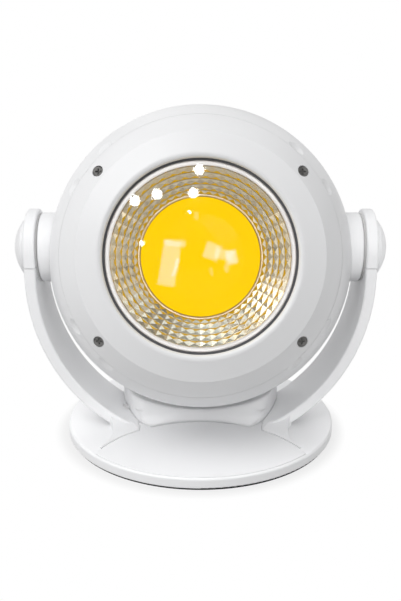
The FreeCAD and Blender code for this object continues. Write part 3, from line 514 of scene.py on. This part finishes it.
dress(metal("cast_aluminium", (0.74, 0.75, 0.76), (0.62, 0.63, 0.64), 0.42, (1.0, 1.0, 1.0)), "heat_sink")
dress(rubber("thermal_pad", (0.42, 0.46, 0.50), (0.36, 0.40, 0.44), 0.6), "thermal_pad")

# Table and backdrop.
# A white table that fades into a white room, with the soft shadow of the base on it. Mirrors also see that
# the room is darker behind the camera, and patchy as a furnished room is.

begin()
bpy.ops.mesh.primitive_plane_add(size=8.0)
table = bpy.context.object
table.name = "table"
table_white, layer = empty_material("table_white")
dust = noise(layer, 3.0, 3.0)
spread = layer.node("ShaderNodeTexCoord", {}, {}, "Object")
away = layer.node("ShaderNodeVectorMath", {"operation": "LENGTH"}, {0: spread}, "Value")
fade = layer.node("ShaderNodeMapRange", {"interpolation_type": "SMOOTHSTEP"},
                  {"Value": away, "From Min": 0.0606, "From Max": 0.0672, "To Min": 0.79, "To Max": 1.0})
paper = layer.node("ShaderNodeBsdfDiffuse", {}, {
    "Color": blend(layer, dust, (0.50, 0.50, 0.50), (0.47, 0.47, 0.47))})
white = layer.node("ShaderNodeEmission", {}, {"Color": (1.0, 1.0, 1.0, 1.0), "Strength": 1.0})


def shown_rays(layer):
    """1 for rays that show the surroundings: straight to the camera, or by way of metal or glass."""
    seen = layer.node("ShaderNodeLightPath", {}, {}, "Is Camera Ray")
    shone = layer.node("ShaderNodeLightPath", {}, {}, "Is Glossy Ray")
    passed = layer.node("ShaderNodeLightPath", {}, {}, "Is Transmission Ray")
    return layer.maths("MINIMUM", seen + shone + passed, 1.0)


output(layer, layer.node("ShaderNodeMixShader", {}, {0: fade * shown_rays(layer), 1: paper, 2: white}))
table.data.materials.append(table_white)

world = bpy.data.worlds.new("white_room")
bpy.context.scene.world = world
world.use_nodes = True
world.node_tree.nodes.clear()
sky = Layer(world.node_tree)
heading = sky.node("ShaderNodeTexCoord", {}, {}, "Generated")
depth = sky.node("ShaderNodeSeparateXYZ", {}, {"Vector": heading}, "Y")
backdrop = sky.node("ShaderNodeMapRange", {"interpolation_type": "SMOOTHSTEP"},
                    {"Value": depth, "From Min": -0.95, "From Max": -0.50, "To Min": 0.06, "To Max": 1.0})
furniture = sky.node("ShaderNodeTexNoise", {}, {"Vector": heading, "Scale": 4.0, "Detail": 1.0}, "Fac")
clutter = sky.node("ShaderNodeMapRange", {"interpolation_type": "SMOOTHSTEP"},
                   {"Value": furniture, "From Min": 0.40, "From Max": 0.60, "To Min": 0.60, "To Max": 1.0})
seen = sky.node("ShaderNodeLightPath", {}, {}, "Is Camera Ray")
brightness = sky.maths("MAXIMUM", seen, backdrop * clutter)
shown = shown_rays(sky)
room_light = 0.55
room = sky.node("ShaderNodeBackground", {}, {
    "Color": (1.0, 1.0, 1.0, 1.0), "Strength": room_light + shown * (brightness - room_light)})
sky.node("ShaderNodeOutputWorld", {}, {"Surface": room})

# Studio lights.
# Softboxes: a key high on the left, fills for the back, the arms, the right, the base and the cradle, and a
# small card before the lens for its rims. Four more show only as reflections, in the facets and the dome.

def softbox(name, shape, place, target, width, height, radiance):
    """Flat lamp that faces a target, as bright all over as its radiance says."""
    data = bpy.data.lights.new(name, "AREA")
    data.shape = shape
    data.size = width
    data.size_y = height
    cover = math.pi / 4 if shape == "DISK" else 1.0
    data.energy = radiance * math.pi * width * height * cover
    lamp = bpy.data.objects.new(name, data)
    bpy.context.collection.objects.link(lamp)
    lamp.location = place
    lamp.rotation_euler = (target - place).to_track_quat("-Z", "Y").to_euler()
    return lamp


def mirrored_only(lamp, receivers):
    """Let a lamp show only as a reflection, in some pieces."""
    lamp.visible_camera = False
    lamp.visible_diffuse = False
    lamp.visible_transmission = False
    lamp.light_linking.receiver_collection = receivers


def only_on(name, *pieces):
    """Collection of the pieces that a lamp shines on."""
    collection = bpy.data.collections.new(name)
    for piece in pieces:
        collection.objects.link(piece)
    return collection


lens_middle = head_place @ Vector((0.0, 0.0, mouth_height))


def off_axis(side, lift, distance):
    """Place in front of the lens, by degrees to the right of its axis and above it."""
    turn = math.radians(side)
    climb = math.radians(lift)
    ahead = Vector((math.sin(turn) * math.cos(climb), math.sin(climb), math.cos(turn) * math.cos(climb)))
    return head_place @ (Vector((0.0, 0.0, mouth_height)) + distance * ahead)


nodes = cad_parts
arm_parts = [nodes[name] for name in (
    "yoke", "ear_cap_right", "ear_cap_left", "pivot_cover_right", "pivot_cover_left", "pivot_drum_right",
    "pivot_drum_left")]
high_left = Vector((-0.50, -0.46, 0.73))
key = softbox("key", "SQUARE", lens_middle + 1.6 * high_left, lens_middle, 1.3, 1.3, 2.82)
key.light_linking.receiver_collection = only_on("off_key", dome, reflector_flange, *arm_parts)
for member in key.light_linking.receiver_collection.collection_objects:
    member.light_linking.link_state = "EXCLUDE"

on_back = only_on("on_back", nodes["rear_shell"], nodes["cradle_housing"], nodes["base_shell"], nodes["yoke"])
on_arms = only_on("on_arms", *arm_parts)
on_base = only_on("on_base", nodes["base_shell"], nodes["front_panel"])
on_cradle = only_on("on_cradle", nodes["cradle_housing"])
on_all = None
for name, bearing, distance, width, radiance, receivers in (
        ("back_fill", Vector((0.0, 0.90, 0.42)), 1.6, 1.3, 1.2, on_back),
        ("arm_key", high_left, 1.6, 1.3, 2.0, on_arms),
        ("right_fill", Vector((0.86, -0.50, 0.05)), 1.5, 1.2, 0.66, on_all),
        ("arm_fill", Vector((0.2, -0.90, 0.38)), 1.5, 1.2, 1.85, on_arms),
        ("base_fill", Vector((0.0, -0.42, 0.91)), 1.5, 1.2, 1.3, on_base),
        ("cradle_fill", Vector((0.1, -0.80, 0.60)), 1.5, 1.2, 1.75, on_cradle)):
    fill = softbox(name, "SQUARE", lens_middle + distance * bearing, lens_middle, width, width, radiance)
    fill.light_linking.receiver_collection = receivers

round_card = softbox("round_card", "DISK", off_axis(0.0, 0.0, 0.7), lens_middle, 0.15, 0.15, 50.0)
round_card.light_linking.receiver_collection = only_on("on_rims", reflector_flange, dome_collar)

on_cup = only_on("on_cup", reflector_cup)
on_dome = only_on("on_dome", dome)
plain_white = (1.0, 1.0, 1.0)
cool_white = (0.74, 0.92, 1.15)
for name, place, width, radiance, colour, receivers in (
        ("overhead", lens_middle + 1.3 * Vector((0.1, -0.2, 0.97)), 1.5, 1.9, cool_white, on_cup),
        ("beside_left", off_axis(-46.0, 0.0, 1.3), 1.2, 1.4, plain_white, on_cup),
        ("beside_right", off_axis(46.0, 0.0, 1.3), 1.2, 1.0, plain_white, on_cup),
        ("side_window", off_axis(42.0, 42.0, 1.3), 1.1, 4.5, plain_white, on_dome)):
    lamp = softbox(name, "SQUARE", place, lens_middle, width, width, radiance)
    lamp.data.color = colour
    mirrored_only(lamp, receivers)

# Camera.
# It looks down on the lamp by about 18 degrees, from a little over a third of a metre in front.

look_down = 17.853
camera_data = bpy.data.cameras.new("camera")
camera = bpy.data.objects.new("camera", camera_data)
bpy.context.collection.objects.link(camera)
bpy.context.scene.camera = camera
camera.location = (0.0, -0.360, 0.17603)
camera.rotation_euler = (math.radians(90.0 - look_down), 0.0, 0.0)
camera_data.sensor_fit = "VERTICAL"
camera_data.sensor_height = 36.0
camera_data.lens = 51.33

# What the cover glass mirrors.
# Six small, bare lamps, a window and an open door, each a flat lamp that only the cover sees. Its place is
# where its mirror image shows on the cover, across and up from the lens's middle.

cover_front = 0.04375
eye = head_place.inverted() @ camera.location
mirrored_eye = Vector((eye.x, eye.y, 2 * cover_front - eye.z))
on_cover = only_on("on_cover", nodes["front_lens"])
dusk = (1.0, 0.45, 1.0)
for name, shape, across, up, width, height, lean, radiance, colour in (
        ("ceiling_lamp_a", "DISK", -0.0005, 0.0331, 0.0145, 0.0145, 0.0, 40.0, plain_white),
        ("ceiling_lamp_b", "DISK", -0.0026, 0.0243, 0.0145, 0.0145, 0.0, 40.0, plain_white),
        ("ceiling_lamp_c", "DISK", -0.0166, 0.0239, 0.0145, 0.0145, 0.0, 40.0, plain_white),
        ("ceiling_lamp_d", "DISK", -0.0250, 0.0214, 0.0145, 0.0145, 0.0, 40.0, plain_white),
        ("ceiling_lamp_e", "DISK", -0.0043, 0.0171, 0.0040, 0.0040, 0.0, 56.25, plain_white),
        ("ceiling_lamp_f", "DISK", -0.0224, 0.0052, 0.0075, 0.0075, 0.0, 22.0, plain_white),
        ("window_high", "RECTANGLE", -0.0016, 0.0156, 0.0066, 0.0125, 0.0, 2.0, dusk),
        ("window_pane", "RECTANGLE", -0.0119, -0.0025, 0.0268, 0.0694, -9.0, 4.5, dusk),
        ("window_head", "RECTANGLE", -0.0096, 0.0053, 0.0315, 0.0095, -2.0, 4.0, dusk),
        ("window_gap", "RECTANGLE", -0.0095, -0.0040, 0.0047, 0.0284, -18.0, 6.0, dusk),
        ("door_edge", "RECTANGLE", 0.0045, 0.0021, 0.0236, 0.0252, -20.0, 4.5, dusk),
        ("door_leaf", "RECTANGLE", 0.0090, 0.0009, 0.0284, 0.0158, -10.0, 4.0, dusk),
        ("door_light", "RECTANGLE", 0.0119, -0.0002, 0.0173, 0.0205, 10.0, 6.0, dusk),
        ("door_foot", "RECTANGLE", 0.0100, -0.0042, 0.0070, 0.0135, 0.0, 2.5, dusk),
        ("door_glint", "RECTANGLE", 0.0042, -0.0058, 0.0045, 0.0127, 12.0, 2.0, dusk)):
    spot = Vector((across, up, cover_front))
    ray = (spot - mirrored_eye).normalized()
    lamp = softbox(name, shape, head_place @ (spot + ray), head_place @ spot, width, height, radiance)
    lamp.rotation_euler.rotate_axis("Z", math.radians(lean))
    lamp.data.color = colour
    mirrored_only(lamp, on_cover)

bpy.context.scene.view_settings.view_transform = "Standard"
